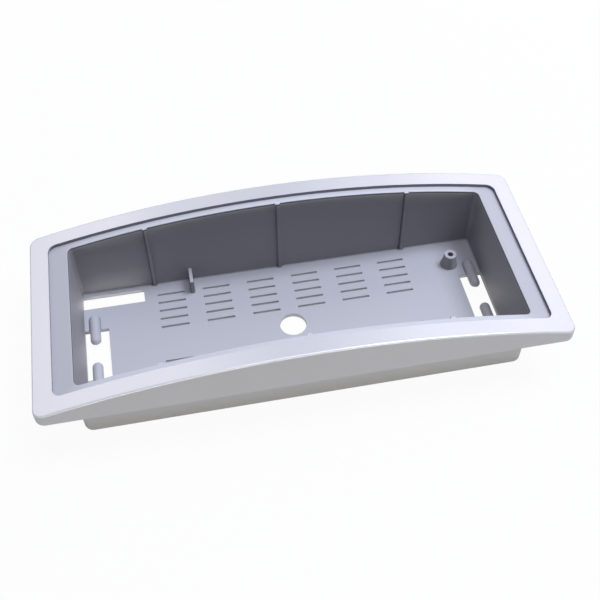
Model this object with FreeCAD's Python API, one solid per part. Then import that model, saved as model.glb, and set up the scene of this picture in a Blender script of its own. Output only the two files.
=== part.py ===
import FreeCAD, Part
import math
import os

# Injection moulded housing: an arched bezel round a recessed ledge, and a deep drafted pocket
# whose vented floor holds a screw boss, a locating tab and two windows with spring fingers.
# Millimetres. +X runs along the bezel, +Y to the back, +Z up.
# The origin is the middle of the flat underside, on which the housing stands.

# Wall sections
wall = 2.2
floor_thickness = 2.2

# Bezel: straight in plan, its top face arched along X, its skirt cut off flat below
bezel_length = 250.0
bezel_width = 107.4
bezel_corner_radius = 5.0
bezel_end_height = 34.0
arch_rise = 16.3
skirt_drop = 5.6
top_edge_round = 0.9

# Ledge: the seat sunk into the bezel, parallel to the arch
rim_width_at_ends = 9.45
rim_width_at_sides = 8.7
step_depth = 1.85
step_corner_radius = 4.0
ledge_width_at_ends = 9.7
ledge_width_at_sides = 4.05

# Pocket: inside and outside have their own draft, so the wall thickens towards the mouth
mouth_corner_radius = 2.4
mouth_edge_round = 0.5
inner_draft = 1.85
outer_draft = 0.8
base_edge_round = 1.5
floor_edge_round = 0.6

# Upright ribs on the long pocket walls
rib_spacing = 67.0
rib_width = 2.3
rib_proud = 0.8

# Vent slots, in two groups, one each side of the middle
slot_columns = 6
slot_rows = 5
slot_length = 14.2
slot_width = 1.2
slot_column_pitch = 23.64
slot_row_pitch = 5.33
first_row_from_middle = 10.8

# Round cable hole in the middle of the floor
cable_hole_radius = 6.8

# Side windows against the end walls, and the two fingers that reach into each.
# The gap between the noses is centred at finger_gap_y
window_width = 12.1
window_half_span = 15.2
finger_from_wall = 5.3
finger_width = 5.3
finger_gap_y = 0.35
finger_tip_from_gap = 5.85
finger_root_from_gap = 22.5
finger_seat = 0.4

# Corner window behind the left finger pair
corner_window_length = 31.8
corner_window_front = 29.4
corner_window_depth = 8.3

# Screw boss with a blind pilot hole
boss_x = 89.8
boss_y = 24.3
boss_height = 7.7
boss_top_radius = 3.2
boss_base_radius = 4.3
pilot_radius = 1.45
pilot_depth = 7.5

# Locating tab that stands on the floor and runs back to the wall
tab_x = -47.65
tab_thickness = 1.7
tab_front = 30.4
tab_height = 8.5

# Cutting tools run this far past what they cut
overrun = 1.0


def drafted_size(half_size, draft, height):
    """Half size of a drafted wall at a height above the level where half_size holds."""
    return half_size + height * math.tan(math.radians(draft))


# Levels and half sizes that follow from the values above
skirt_level = bezel_end_height - skirt_drop
crown_level = bezel_end_height + arch_rise
mouth_half_length = bezel_length / 2 - rim_width_at_ends - ledge_width_at_ends
mouth_half_width = bezel_width / 2 - rim_width_at_sides - ledge_width_at_sides
floor_drop = bezel_end_height - floor_thickness
floor_half_length = drafted_size(mouth_half_length, inner_draft, -floor_drop)
floor_half_width = drafted_size(mouth_half_width, inner_draft, -floor_drop)
floor_corner_radius = drafted_size(mouth_corner_radius, inner_draft, -floor_drop)
outer_corner_radius = mouth_corner_radius + wall
base_half_length = drafted_size(mouth_half_length + wall, outer_draft, -bezel_end_height)
base_half_width = drafted_size(mouth_half_width + wall, outer_draft, -bezel_end_height)


def rounded_rectangle(half_length, half_width, radius, level):
    """Closed wire of a rectangle with round corners, centred on the Z axis."""
    corners = (
        (half_length - radius, half_width - radius, 0),
        (radius - half_length, half_width - radius, 90),
        (radius - half_length, radius - half_width, 180),
        (half_length - radius, radius - half_width, 270),
    )
    axis = FreeCAD.Vector(0, 0, 1)
    arcs = []
    for x, y, start in corners:
        centre = FreeCAD.Vector(x, y, level)
        arcs.append(Part.makeCircle(radius, centre, axis, start, start + 90))
    edges = []
    for arc, following in zip(arcs, arcs[1:] + arcs[:1]):
        edges.append(arc)
        edges.append(Part.makeLine(arc.lastVertex().Point, following.firstVertex().Point))
    return Part.Wire(edges)


def drafted_block(half_length, half_width, radius, low, high, draft):
    """Rounded block whose half sizes hold at its low level and whose walls open upwards."""
    growth = drafted_size(0, draft, high - low)
    bottom = rounded_rectangle(half_length, half_width, radius, low)
    top = rounded_rectangle(half_length + growth, half_width + growth, radius + growth, high)
    return Part.makeLoft([bottom, top], True, True)


def under_arch(sunk):
    """Everything under the arched top face sunk by the given depth along its normal."""
    half = bezel_length / 2
    arch_radius = (half ** 2 + arch_rise ** 2) / (2 * arch_rise)
    centre = FreeCAD.Vector(0, -bezel_width, crown_level - arch_radius)
    along = FreeCAD.Vector(0, 1, 0)
    arch = Part.makeCylinder(arch_radius - sunk, 2 * bezel_width, centre, along)
    arch.rotate(centre, along, 180)
    return arch


def slab(x_low, x_high, y_low, y_high, z_low, z_high):
    """Rectangular block between two corners."""
    corner = FreeCAD.Vector(x_low, y_low, z_low)
    return Part.makeBox(x_high - x_low, y_high - y_low, z_high - z_low, corner)


def edges_on_level(shape, level):
    """Edges of a shape that lie flat on one level."""
    found = []
    for edge in shape.Edges:
        box = edge.BoundBox
        if abs(box.ZMin - level) < 0.01 and abs(box.ZMax - level) < 0.01:
            found.append(edge)
    return found


def bezel_outside():
    """Arched block of the bezel, its top edge rounded."""
    block = drafted_block(bezel_length / 2, bezel_width / 2, bezel_corner_radius,
                          skirt_level, crown_level + overrun, 0)
    arched = block.common(under_arch(0))
    top_edges = []
    for edge in arched.Edges:
        if edge.BoundBox.ZMin > skirt_level + skirt_drop / 2:
            top_edges.append(edge)
    return arched.makeFillet(top_edge_round, top_edges)


def pocket_outside():
    """Outer form of the pocket, up to the ledge, its base edge rounded."""
    block = drafted_block(base_half_length, base_half_width, outer_corner_radius,
                          0, crown_level + overrun, outer_draft)
    rounded = block.makeFillet(base_edge_round, edges_on_level(block, 0))
    return rounded.common(under_arch(step_depth))


def pocket_inside():
    """Inner form of the pocket, from the floor up through the mouth."""
    block = drafted_block(floor_half_length, floor_half_width, floor_corner_radius,
                          floor_thickness, crown_level + overrun, inner_draft)
    return block.makeFillet(floor_edge_round, edges_on_level(block, floor_thickness))


def ledge_block(extra, sunk):
    """Block over the ledge's plan, grown by extra, that keeps what is above the sunk arch."""
    half_length = bezel_length / 2 - rim_width_at_ends + extra
    half_width = bezel_width / 2 - rim_width_at_sides + extra
    block = drafted_block(half_length, half_width, step_corner_radius + extra,
                          skirt_level - overrun, crown_level + overrun, 0)
    return block.cut(under_arch(sunk))


def hollow_under_bezel():
    """Space inside the skirt, under the bezel and round the pocket, open below."""
    block = drafted_block(bezel_length / 2 - wall, bezel_width / 2 - wall, bezel_corner_radius - wall,
                          skirt_level - overrun, crown_level + overrun, 0)
    return block.common(under_arch(wall)).cut(ledge_block(wall, step_depth + wall))


def shell():
    """Bezel, ledge and pocket as one wall, with the pocket left solid inside."""
    pocket = pocket_outside()
    hollow = hollow_under_bezel().cut(pocket)
    return bezel_outside().cut(hollow).fuse(pocket).cut(ledge_block(0, step_depth))


def wall_ribs():
    """Shallow upright ribs on both long walls, flush with the ledge."""
    rise = crown_level - floor_thickness
    lean = drafted_size(0, inner_draft, rise)
    rooted = wall / 2
    ribs = []
    for x in (-rib_spacing, 0, rib_spacing):
        for side in (-1, 1):
            section = []
            for depth, lift in ((-rib_proud, 0), (-rib_proud, 1), (rooted, 1), (rooted, 0), (-rib_proud, 0)):
                y = side * (floor_half_width + depth + lift * lean)
                section.append(FreeCAD.Vector(x - rib_width / 2, y, floor_thickness + lift * rise))
            rib = Part.Face(Part.makePolygon(section)).extrude(FreeCAD.Vector(rib_width, 0, 0))
            ribs.append(rib.common(under_arch(step_depth)))
    return ribs


def vent_slots():
    """Both groups of vent slots, as cutting tools."""
    slots = []
    for column in range(slot_columns):
        x = (column - (slot_columns - 1) / 2) * slot_column_pitch
        for row in range(slot_rows):
            for side in (-1, 1):
                y = side * (first_row_from_middle + row * slot_row_pitch)
                slots.append(slab(x - slot_length / 2, x + slot_length / 2,
                                  y - slot_width / 2, y + slot_width / 2,
                                  -overrun, floor_thickness + overrun))
    return slots


def cable_hole():
    """Round hole through the middle of the floor, as a cutting tool."""
    foot = FreeCAD.Vector(0, 0, -overrun)
    return Part.makeCylinder(cable_hole_radius, floor_thickness + 2 * overrun, foot)


def windows():
    """Side windows and corner window, as cutting tools that stop at the pocket's walls."""
    low = -overrun
    high = floor_thickness + overrun
    corner_end = corner_window_length - floor_half_length
    openings = [slab(-floor_half_length, corner_end, corner_window_front,
                     corner_window_front + corner_window_depth, low, high)]
    for side in (-1, 1):
        near, far = sorted((side * (floor_half_length - window_width), side * floor_half_length))
        openings.append(slab(near, far, -window_half_span, window_half_span, low, high))
    plan = drafted_block(floor_half_length, floor_half_width, floor_corner_radius, low, high, 0)
    return [opening.common(plan) for opening in openings]


def finger(x, side):
    """Half-round finger with a ball nose, rooted on the floor and reaching into the window."""
    radius = finger_width / 2
    nose = finger_gap_y + side * (finger_tip_from_gap + radius)
    root = finger_gap_y + side * finger_root_from_gap
    y_low, y_high = sorted((nose, root))
    along = FreeCAD.Vector(0, 1, 0)
    bar = Part.makeCylinder(radius, y_high - y_low, FreeCAD.Vector(x, y_low, floor_thickness), along)
    ball = Part.makeSphere(radius, FreeCAD.Vector(x, nose, floor_thickness))
    top = slab(x - radius, x + radius, y_low - radius, y_high + radius,
               floor_thickness, floor_thickness + radius)
    crown = bar.fuse(ball).common(top)
    seat_low = floor_thickness - finger_seat
    seat = slab(x - radius, x + radius, y_low, y_high, seat_low, floor_thickness)
    seat = seat.fuse(Part.makeCylinder(radius, finger_seat, FreeCAD.Vector(x, nose, seat_low)))
    return crown.fuse(seat).removeSplitter()


def fingers():
    """The four fingers, a facing pair in each side window."""
    made = []
    for x in (finger_from_wall - floor_half_length, floor_half_length - finger_from_wall):
        for side in (-1, 1):
            made.append(finger(x, side))
    return made


def boss():
    """Tapered screw boss rising from the floor."""
    foot = FreeCAD.Vector(boss_x, boss_y, floor_thickness / 2)
    skirt = floor_thickness / 2
    slope = (boss_base_radius - boss_top_radius) / boss_height
    return Part.makeCone(boss_base_radius + skirt * slope, boss_top_radius, boss_height + skirt, foot)


def pilot_hole():
    """Blind pilot hole down the boss, as a cutting tool."""
    top = floor_thickness + boss_height
    foot = FreeCAD.Vector(boss_x, boss_y, top - pilot_depth)
    return Part.makeCylinder(pilot_radius, pilot_depth + overrun, foot)


def tab():
    """Thin locating tab, joined to the floor and to the back wall."""
    return slab(tab_x - tab_thickness / 2, tab_x + tab_thickness / 2, tab_front, mouth_half_width,
                floor_thickness / 2, floor_thickness + tab_height)


def mouth_edges(shape):
    """Edges where the ledge turns down into the pocket."""
    found = []
    for edge in shape.Edges:
        box = edge.BoundBox
        reach_x = max(-box.XMin, box.XMax) - mouth_half_length
        reach_y = max(-box.YMin, box.YMax) - mouth_half_width
        if reach_x < wall / 2 and reach_y < wall / 2 and box.ZMin > skirt_level + wall:
            found.append(edge)
    return found


def hollowed_shell():
    """Shell with the pocket hollowed out and the edge of its mouth rounded."""
    hollowed = shell().cut(pocket_inside())
    return hollowed.makeFillet(mouth_edge_round, mouth_edges(hollowed))


def housing():
    """The whole moulding as one solid."""
    body = hollowed_shell()
    body = body.fuse(wall_ribs())
    body = body.cut(vent_slots() + windows() + [cable_hole()])
    body = body.fuse(fingers() + [boss(), tab()])
    return body.cut(pilot_hole()).removeSplitter()


os.makedirs("parts", exist_ok=True)
part = housing()
print("solids", len(part.Solids), "valid", part.isValid(), "volume cm3", round(part.Volume / 1000, 2))
part.exportStep("parts/housing.step")
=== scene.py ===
import math

import bpy
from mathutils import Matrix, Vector


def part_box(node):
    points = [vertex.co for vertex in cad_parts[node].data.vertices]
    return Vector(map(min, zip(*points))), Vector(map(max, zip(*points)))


# The looks of a moulded plastic housing: a satin silver bezel round a fine-textured ledge and
# pocket, on a pale floor under soft studio light. Metres, in the part's own frame: X along the
# bezel, Y from its front to its back, Z up out of the pocket.

MM = 0.001

# Camera, as the photograph was taken: place, angle below the horizon and turn about Z in radians
CAMERA_PLACE = (-0.050795, -0.280358, 0.377911)
CAMERA_DOWN = 0.89576
CAMERA_TURN = -0.19130
CAMERA_LENS_MM = 55.32
CAMERA_SENSOR_MM = 36.0
CAMERA_NEAREST = 0.01

# Lengths of the part that its finishes follow
BEZEL_HALF_LENGTH = 125.0 * MM
BEZEL_HALF_WIDTH = 53.7 * MM
RIM_AT_ENDS = 9.45 * MM
RIM_AT_SIDES = 8.7 * MM
STEP_CORNER = 4.0 * MM
STEP_DEPTH = 1.85 * MM
ARC_RADIUS = 487.44 * MM
ARC_TOP = 50.3 * MM
FLOOR_TOP = 2.2 * MM
RIB_SPACING = 67.0 * MM

# The fingers: reach along X from the middle, then where they end along Y and in height
FINGER_INNER = 96.0 * MM
FINGER_OUTER = 103.4 * MM
FINGER_BLUR = 0.5 * MM
FINGER_ROOT = (25.0 * MM, 26.0 * MM)
FINGER_CREST = (5.0 * MM, 5.5 * MM)

# Soft limits of masks, from 0 to 1: distance past the ledge's outline
POLISH_BEYOND = (0.12 * MM, 0.25 * MM)
STEP_BEYOND = (-0.8 * MM, -0.4 * MM)

# Soft limits of masks: which way a face looks, as parts of its unit normal
RIM_LOOKS_UP = (0.10, 0.35)
LEDGE_LOOKS_UP = (0.80, 0.96)
WALL_LOOKS_UP = (0.25, 0.60)
MOUTH_EDGE_LOOKS_UP = (0.80, 0.96)
MOUTH_EDGE_LOOKS_BACK = (0.15, 0.40)
STEP_LOOKS_RIGHT = (0.5, 0.9)

# Soft limits of masks: how far a face looks towards the middle of the part, and height
WALL_LOOKS_IN = (2.0 * MM, 12.0 * MM)
MOUTH_EDGE_LOOKS_IN = (2.0 * MM, 8.0 * MM)
OVER_FLOOR = (FLOOR_TOP, FLOOR_TOP + 1.0 * MM)

# The long sides of the ledge, painted a shade paler than its ends as painted light: start across Y, and fade
# along X
LONG_LEDGE = (40.5 * MM, 41.0 * MM)
LEDGE_FADE = (95.0 * MM, 112.0 * MM)

# Painted lines round the pocket's mouth, by depth below the ledge: painted shade on the rounded edge and a
# paler painted highlight below it; and a line of painted shadow down the left edge of each rib
EDGE_LINE = 0.9 * MM
HIGHLIGHT_LINE_DEPTH = 1.75 * MM
LINE_BLUR = 0.12 * MM
RIB_LINE_START = -1.25 * MM
RIB_LINE_END = -0.55 * MM

# Colours, linear
WHITE = (1.0, 1.0, 1.0, 1.0)
TEXTURED_PLASTIC = (0.46, 0.465, 0.49, 1.0)
# Painted light: the ledge's long sides a shade paler than its ends
PAINTED_LIGHT_LEDGE = (0.565, 0.57, 0.60, 1.0)
# Painted shade on the steep inner faces of the pocket, boss and tab
PAINTED_INNER_SHADE = (0.283, 0.281, 0.299, 1.0)
# Painted shade on the step down to the ledge
PAINTED_STEP_SHADE = (0.13, 0.138, 0.185, 1.0)
# Painted shade along the mouth's edge and painted shadow down the ribs
PAINTED_SHADE_LINE = (0.11, 0.113, 0.14, 1.0)
# Painted highlight below the mouth's edge
PAINTED_HIGHLIGHT_LINE = (0.35, 0.357, 0.39, 1.0)
POLISHED_PLASTIC = (0.56, 0.565, 0.59, 1.0)
FLOOR_WHITE = (0.75, 0.75, 0.75, 1.0)
WORLD_TINT = (0.98, 0.98, 1.0, 1.0)

# Finish of the plastic
TEXTURED_ROUGHNESS = 0.58
POLISHED_ROUGHNESS = 0.26
RIM_METAL = 0.28
EDGE_ROUND = 0.25 * MM
EDGE_ROUND_SAMPLES = 6
BUMP_STRENGTH = 0.30
BUMP_DISTANCE = 0.02 * MM

# Spark grain, shallow waves and slow flow marks, as noise round its middle value
NOISE_MIDDLE = 0.5
GRAIN_SIZE = 0.35 * MM
GRAIN_DETAIL = 3.0
GRAIN_SHADE = 0.05
GRAIN_ROUGHNESS = 0.05
WAVE_SIZE = 9.0 * MM
WAVE_DETAIL = 1.0
WAVE_HEIGHT = 0.4
FLOW_SIZE = 40.0 * MM
FLOW_DETAIL = 3.0
FLOW_SHADE = 0.05
FLOW_ROUGHNESS = 0.06

# Painted shade in the inner corners at the floor
CREASE_REACH = 0.8 * MM
CREASE_SAMPLES = 8
CREASE_TOP = FLOOR_TOP + 2.0 * MM
CREASE_BLUR = 0.4 * MM
CREASE_SHADE = 1.2

# Floor and surroundings
FLOOR_HALF = 3.0
FLOOR_GLOW = 0.95
SHADOW_REACH = 0.25
WORLD_LEVEL = 0.10

# Lamps on a dome round the part: name, azimuth from +X, elevation, size in metres, watts, tint
LAMP_DISTANCE = 1.6
LAMP_AIM = (0.0, 0.0, 0.03)
TOP_TINT = (0.80, 0.84, 1.0)
PANEL_TINT = (1.0, 0.96, 0.99)
FRONT_TINT = (1.0, 0.95, 0.79)
LAMPS = (
    ("key lamp", 5, 62, (0.6, 0.6), 16.0, TOP_TINT),
    ("key lamp, back", 30, 68, (0.5, 0.5), 5.7, TOP_TINT),
    ("overhead lamp", 0, 90, (0.5, 0.5), 5.9, TOP_TINT),
    ("left panel", 132, 36, (0.9, 0.5), 1.6, PANEL_TINT),
    ("left panel, upper", 128, 52, (0.7, 0.5), 1.13, PANEL_TINT),
    ("left panel, inner", 106, 44, (0.5, 0.6), 0.25, PANEL_TINT),
    ("left panel, top", 104, 58, (0.4, 0.4), 0.21, PANEL_TINT),
    ("right panel, inner", 62, 40, (0.4, 0.6), 0.36, PANEL_TINT),
    ("right panel", 40, 27, (0.7, 0.5), 1.52, PANEL_TINT),
    ("right panel, upper", 42, 42, (0.7, 0.5), 1.02, PANEL_TINT),
    ("front strip", 270, 3, (1.4, 0.12), 8.5, FRONT_TINT),
    ("front strip, low", 270, 1.2, (1.4, 0.05), 1.75, FRONT_TINT),
)

# Glow of the table under the part: name, centre, size in metres, watts
TABLE_GLOW_HEIGHT = 0.3 * MM
TABLE_GLOW_TINT = (1.0, 0.96, 0.88)
TABLE_GLOWS = (
    ("table glow", (0.0, 0.0), (0.205, 0.075), 0.023),
    ("table glow, corner window", (-0.089, 0.0335), (0.031, 0.008), 0.0005),
)
FACING_UP = (math.pi, 0.0, 0.0)


class Wire:
    """A socket of a node tree that Python's operators work on."""

    def __init__(self, board, socket):
        self.board = board
        self.socket = socket

    def maths(self, operation, *values):
        sockets = dict(enumerate(values))
        return self.board.add("ShaderNodeMath", {"operation": operation}, sockets)["Value"]

    def larger(self, other):
        return self.maths("MAXIMUM", self, other)

    def wrapped(self, span):
        return self.maths("WRAP", self, 0.5 * span, -0.5 * span)

    def __add__(self, other):
        return self.maths("ADD", self, other)

    def __sub__(self, other):
        return self.maths("SUBTRACT", self, other)

    def __rsub__(self, other):
        return self.maths("SUBTRACT", other, self)

    def __mul__(self, other):
        return self.maths("MULTIPLY", self, other)

    def __pow__(self, other):
        return self.maths("POWER", self, other)

    def __abs__(self):
        return self.maths("ABSOLUTE", self)

    __radd__ = __add__
    __rmul__ = __mul__


class Node:
    """A node whose outputs are read by name."""

    def __init__(self, board, node):
        self.board = board
        self.node = node

    def __getitem__(self, name):
        return Wire(self.board, self.node.outputs[name])


class Board:
    """A node tree that nodes are added to."""

    def __init__(self, tree):
        self.tree = tree
        tree.nodes.clear()

    def add(self, kind, settings=None, sockets=None):
        """A new node: its settings are made first, then the values and links of its sockets."""
        node = self.tree.nodes.new(kind)
        for name, value in (settings or {}).items():
            setattr(node, name, value)
        for name, value in (sockets or {}).items():
            if isinstance(value, Wire):
                self.tree.links.new(value.socket, node.inputs[name])
            else:
                node.inputs[name].default_value = value
        return Node(self, node)


def new_material(name):
    """An empty material and the board of its nodes."""
    material = bpy.data.materials.new(name)
    material.use_nodes = True
    return material, Board(material.node_tree)


def soft_step(board, value, start, end):
    """0 below start, 1 above end, smooth between them."""
    return board.add("ShaderNodeMapRange", {"interpolation_type": "SMOOTHSTEP"},
                     {"Value": value, "From Min": start, "From Max": end})["Result"]


def band(board, value, start, end, blur):
    """1 between start and end, 0 outside, blurred over the given distance at both."""
    after_start = soft_step(board, value, start - blur, start)
    return after_start * (1.0 - soft_step(board, value, end, end + blur))


def blend(board, share, first, second):
    """Colour that runs from the first to the second with the share."""
    return board.add("ShaderNodeMix", {"data_type": "RGBA"},
                     {"Factor": share, "A": first, "B": second})["Result"]


def noise(board, place, size, detail):
    """Grey noise whose features are about the given size."""
    return board.add("ShaderNodeTexNoise", {},
                     {"Vector": place, "Scale": 1.0 / size, "Detail": detail})["Fac"]


def past_ledge(spot):
    """Distance past the rounded outline of the sunk ledge, below zero inside it."""
    half_length = BEZEL_HALF_LENGTH - RIM_AT_ENDS - STEP_CORNER
    half_width = BEZEL_HALF_WIDTH - RIM_AT_SIDES - STEP_CORNER
    past_x = (abs(spot["X"]) - half_length).larger(0.0)
    past_y = (abs(spot["Y"]) - half_width).larger(0.0)
    return (past_x ** 2.0 + past_y ** 2.0) ** 0.5 - STEP_CORNER


def depth_in_mouth(spot):
    """Distance straight down from the ledge's arched surface."""
    radius = ARC_RADIUS - STEP_DEPTH
    surface = (radius * radius - spot["X"] * spot["X"]) ** 0.5 - (ARC_RADIUS - ARC_TOP)
    return surface - spot["Z"]


def looking_in(spot, facing):
    """How far a face looks towards the middle: its distance out, times the cosine of its angle."""
    return (spot["X"] * facing["X"] + spot["Y"] * facing["Y"]) * -1.0


def polished_rim(board, beyond, facing):
    """1 on the bezel's top face and its rounded edge, 0 inside the ledge and on the skirt."""
    past_outline = soft_step(board, beyond, *POLISH_BEYOND)
    return past_outline * soft_step(board, facing["Z"], *RIM_LOOKS_UP)


def on_fingers(board, spot):
    """1 on the half-round fingers that reach into the side windows."""
    along = band(board, abs(spot["X"]), FINGER_INNER, FINGER_OUTER, FINGER_BLUR)
    across = 1.0 - soft_step(board, abs(spot["Y"]), *FINGER_ROOT)
    return along * across * (1.0 - soft_step(board, spot["Z"], *FINGER_CREST))


def shaded_inner_faces(board, spot, facing):
    """1 on the steep faces over the floor that look inwards, which get painted shade: walls, step, boss and
    tab.
    """
    steep = 1.0 - soft_step(board, abs(facing["Z"]), *WALL_LOOKS_UP)
    above = soft_step(board, spot["Z"], *OVER_FLOOR) * (1.0 - on_fingers(board, spot))
    return steep * above * soft_step(board, looking_in(spot, facing), *WALL_LOOKS_IN)


def shaded_step(board, beyond, facing):
    """1 on the step down to the ledge, which gets a deeper painted shade, but for the left end, which looks
    into the light.
    """
    at_step = soft_step(board, beyond, *STEP_BEYOND)
    return at_step * (1.0 - soft_step(board, facing["X"], *STEP_LOOKS_RIGHT))


def lit_long_ledge(board, spot, facing):
    """1 on the two long sides of the ledge, which get a paler painted light, fading out towards its ends."""
    at_side = soft_step(board, abs(spot["Y"]), *LONG_LEDGE) * soft_step(board, facing["Z"], *LEDGE_LOOKS_UP)
    return at_side * (1.0 - soft_step(board, abs(spot["X"]), *LEDGE_FADE))


def mouth_tone(board, spot, facing, tone):
    """The tone with a dark line of painted shade on the mouth's rounded edge and a paler line of painted
    highlight below, but for the front.
    """
    depth = depth_in_mouth(spot)
    sloping = soft_step(board, looking_in(spot, facing), *MOUTH_EDGE_LOOKS_IN)
    sloping = sloping * (1.0 - soft_step(board, facing["Z"], *MOUTH_EDGE_LOOKS_UP))
    sloping = sloping * (1.0 - soft_step(board, facing["Y"], *MOUTH_EDGE_LOOKS_BACK))
    below_edge = soft_step(board, depth, EDGE_LINE, EDGE_LINE + LINE_BLUR)
    below_highlight_line = soft_step(board, depth, HIGHLIGHT_LINE_DEPTH, HIGHLIGHT_LINE_DEPTH + LINE_BLUR)
    at_ledge = soft_step(board, depth, -0.5 * LINE_BLUR, 0.0)
    tone = blend(board, sloping * at_ledge * (1.0 - below_edge), tone, PAINTED_SHADE_LINE)
    return blend(board, sloping * below_edge * (1.0 - below_highlight_line), tone, PAINTED_HIGHLIGHT_LINE)


def rib_tone(board, spot, inner_shade, tone):
    """The tone with a dark line of painted shadow down the left edge of each rib, from the mouth's edge to
    the floor.
    """
    from_rib = spot["X"].wrapped(RIB_SPACING)
    line = band(board, from_rib, RIB_LINE_START, RIB_LINE_END, LINE_BLUR)
    below_edge = soft_step(board, depth_in_mouth(spot), EDGE_LINE, EDGE_LINE + LINE_BLUR)
    return blend(board, line * inner_shade * below_edge, tone, PAINTED_SHADE_LINE)


def plastic_tone(board, spot, facing, beyond, polish):
    """Colour of the plastic: pale texture, painted shade on the inner faces and a deeper one on the step,
    painted light on the ledge's long sides, fine lines of painted shade and highlight, silver bezel.
    """
    inner_shade = shaded_inner_faces(board, spot, facing)
    inner_shade_tone = blend(board, shaded_step(board, beyond, facing), PAINTED_INNER_SHADE, PAINTED_STEP_SHADE)
    tone = blend(board, lit_long_ledge(board, spot, facing), TEXTURED_PLASTIC, PAINTED_LIGHT_LEDGE)
    tone = blend(board, inner_shade, tone, inner_shade_tone)
    tone = mouth_tone(board, spot, facing, tone)
    tone = rib_tone(board, spot, inner_shade, tone)
    return blend(board, polish, tone, POLISHED_PLASTIC)


def corner_shade(board, spot):
    """Share of painted shade: up to 0.5 in an inner corner at the floor, fading to 0 within the reach and
    further up.
    """
    settings = {"samples": CREASE_SAMPLES, "only_local": True}
    open_share = board.add("ShaderNodeAmbientOcclusion", settings, {"Distance": CREASE_REACH})["AO"]
    return (1.0 - open_share) * band(board, spot["Z"], FLOOR_TOP, CREASE_TOP, CREASE_BLUR)


def housing_plastic():
    """Grey plastic: satin silver on the bezel, spark-textured on the ledge and in the pocket."""
    material, board = new_material("housing plastic")
    coordinates = board.add("ShaderNodeTexCoord")
    place = coordinates["Object"]
    spot = board.add("ShaderNodeSeparateXYZ", {}, {"Vector": place})
    facing = board.add("ShaderNodeSeparateXYZ", {}, {"Vector": coordinates["Normal"]})
    beyond = past_ledge(spot)
    polish = polished_rim(board, beyond, facing)
    tone = plastic_tone(board, spot, facing, beyond, polish)
    flow = noise(board, place, FLOW_SIZE, FLOW_DETAIL) - NOISE_MIDDLE
    grain = (noise(board, place, GRAIN_SIZE, GRAIN_DETAIL) - NOISE_MIDDLE) * (1.0 - polish)
    waves = noise(board, place, WAVE_SIZE, WAVE_DETAIL)
    shade = 1.0 + flow * FLOW_SHADE + grain * GRAIN_SHADE
    shade = shade * (1.0 - corner_shade(board, spot) * CREASE_SHADE)
    tinted = board.add("ShaderNodeVectorMath", {"operation": "SCALE"}, {0: tone, "Scale": shade})["Vector"]
    roughness = TEXTURED_ROUGHNESS - polish * (TEXTURED_ROUGHNESS - POLISHED_ROUGHNESS)
    roughness = roughness + flow * FLOW_ROUGHNESS + grain * GRAIN_ROUGHNESS
    rounded = board.add("ShaderNodeBevel", {"samples": EDGE_ROUND_SAMPLES}, {"Radius": EDGE_ROUND})["Normal"]
    bumped = board.add("ShaderNodeBump", {}, {
        "Height": grain + waves * WAVE_HEIGHT, "Strength": BUMP_STRENGTH,
        "Distance": BUMP_DISTANCE, "Normal": rounded})["Normal"]
    surface = board.add("ShaderNodeBsdfPrincipled", {}, {
        "Base Color": tinted, "Roughness": roughness,
        "Metallic": polish * RIM_METAL, "Normal": bumped})["BSDF"]
    board.add("ShaderNodeOutputMaterial", {}, {"Surface": surface})
    return material


def seen_directly(board):
    """1 for what the camera sees straight on, mirrored or through clear material, 0 for stray light."""
    rays = board.add("ShaderNodeLightPath")
    return rays["Is Camera Ray"].larger(rays["Is Glossy Ray"]).larger(rays["Is Transmission Ray"])


def floor_material():
    """Pale floor that looks white to the camera and keeps a faint shadow near the part."""
    material, board = new_material("studio floor")
    spot = board.add("ShaderNodeSeparateXYZ", {}, {"Vector": board.add("ShaderNodeTexCoord")["Object"]})
    away = (spot["X"] * spot["X"] + spot["Y"] * spot["Y"]) ** 0.5
    far = soft_step(board, away, SHADOW_REACH, 2.0 * SHADOW_REACH)
    glowing = FLOOR_GLOW + (1.0 - FLOOR_GLOW) * far
    matte = board.add("ShaderNodeBsdfDiffuse", {}, {"Color": FLOOR_WHITE})["BSDF"]
    glow = board.add("ShaderNodeEmission", {}, {"Color": WHITE, "Strength": 1.0})["Emission"]
    share = seen_directly(board) * glowing
    mixed = board.add("ShaderNodeMixShader", {}, {0: share, 1: matte, 2: glow})["Shader"]
    board.add("ShaderNodeOutputMaterial", {}, {"Surface": mixed})
    return material


def make_floor(level):
    """Flat floor that the housing stands on."""
    mesh = bpy.data.meshes.new("studio floor")
    corners = [(-FLOOR_HALF, -FLOOR_HALF, level), (FLOOR_HALF, -FLOOR_HALF, level),
               (FLOOR_HALF, FLOOR_HALF, level), (-FLOOR_HALF, FLOOR_HALF, level)]
    mesh.from_pydata(corners, [], [(0, 1, 2, 3)])
    mesh.materials.append(floor_material())
    floor = bpy.data.objects.new("studio floor", mesh)
    bpy.context.scene.collection.objects.link(floor)


def background(board, colour, level):
    """Even light from all round."""
    return board.add("ShaderNodeBackground", {}, {"Color": colour, "Strength": level})["Background"]


def make_world():
    """Even pale surroundings, plain white to the camera."""
    world = bpy.data.worlds.new("studio")
    world.use_nodes = True
    board = Board(world.node_tree)
    around = background(board, WORLD_TINT, WORLD_LEVEL)
    white = background(board, WHITE, 1.0)
    share = seen_directly(board)
    mixed = board.add("ShaderNodeMixShader", {}, {0: share, 1: around, 2: white})["Shader"]
    board.add("ShaderNodeOutputWorld", {}, {"Surface": mixed})
    bpy.context.scene.world = world


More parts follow.
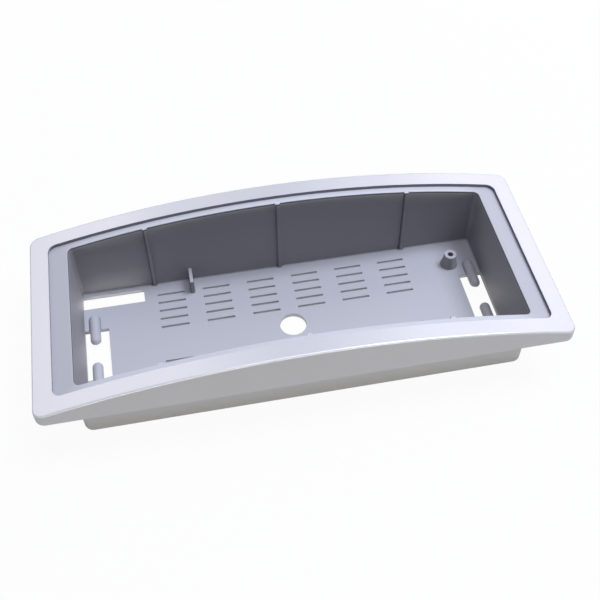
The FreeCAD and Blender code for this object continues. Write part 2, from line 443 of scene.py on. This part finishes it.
def add_lamp(name, place, angles, size, watts, tint):
    """Rectangular lamp at a place."""
    lamp = bpy.data.lights.new(name, "AREA")
    lamp.shape = "RECTANGLE"
    lamp.size, lamp.size_y = size
    lamp.energy = watts
    lamp.color = tint
    holder = bpy.data.objects.new(name, lamp)
    holder.location = place
    holder.rotation_euler = angles
    bpy.context.scene.collection.objects.link(holder)
    return holder


def make_lights():
    """Lamps above the part, panels behind it that the bezel mirrors, and a low strip in front."""
    for name, azimuth, elevation, size, watts, tint in LAMPS:
        turn, lift = math.radians(azimuth), math.radians(elevation)
        level = math.cos(lift)
        way = Vector((level * math.cos(turn), level * math.sin(turn), math.sin(lift)))
        place = way * LAMP_DISTANCE
        angles = (Vector(LAMP_AIM) - place).to_track_quat("-Z", "Y").to_euler()
        add_lamp(name, place, angles, size, watts, tint)


def make_table_glow():
    """Light that a white table sends up through the windows, slots and cable hole."""
    for name, centre, size, watts in TABLE_GLOWS:
        place = (*centre, TABLE_GLOW_HEIGHT)
        lamp = add_lamp(name, place, FACING_UP, size, watts, TABLE_GLOW_TINT)
        lamp.visible_camera = False


def make_camera():
    """Camera at the photograph's place and angle."""
    data = bpy.data.cameras.new("camera")
    data.lens = CAMERA_LENS_MM
    data.sensor_width = CAMERA_SENSOR_MM
    data.clip_start = CAMERA_NEAREST
    camera = bpy.data.objects.new("camera", data)
    camera.location = CAMERA_PLACE
    camera.rotation_euler = (math.pi / 2 - CAMERA_DOWN, 0.0, CAMERA_TURN)
    bpy.context.scene.collection.objects.link(camera)
    bpy.context.scene.camera = camera


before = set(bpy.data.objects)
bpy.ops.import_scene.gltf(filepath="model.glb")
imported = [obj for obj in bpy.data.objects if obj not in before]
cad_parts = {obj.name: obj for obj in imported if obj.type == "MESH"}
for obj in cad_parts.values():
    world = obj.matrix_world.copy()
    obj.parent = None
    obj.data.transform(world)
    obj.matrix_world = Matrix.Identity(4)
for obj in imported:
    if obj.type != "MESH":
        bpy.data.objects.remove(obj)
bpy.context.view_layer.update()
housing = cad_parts["housing"]
housing.data.materials.clear()
housing.data.materials.append(housing_plastic())
make_floor(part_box("housing")[0].z)
make_world()
make_lights()
make_table_glow()
make_camera()
bpy.context.scene.view_settings.view_transform = "Standard"
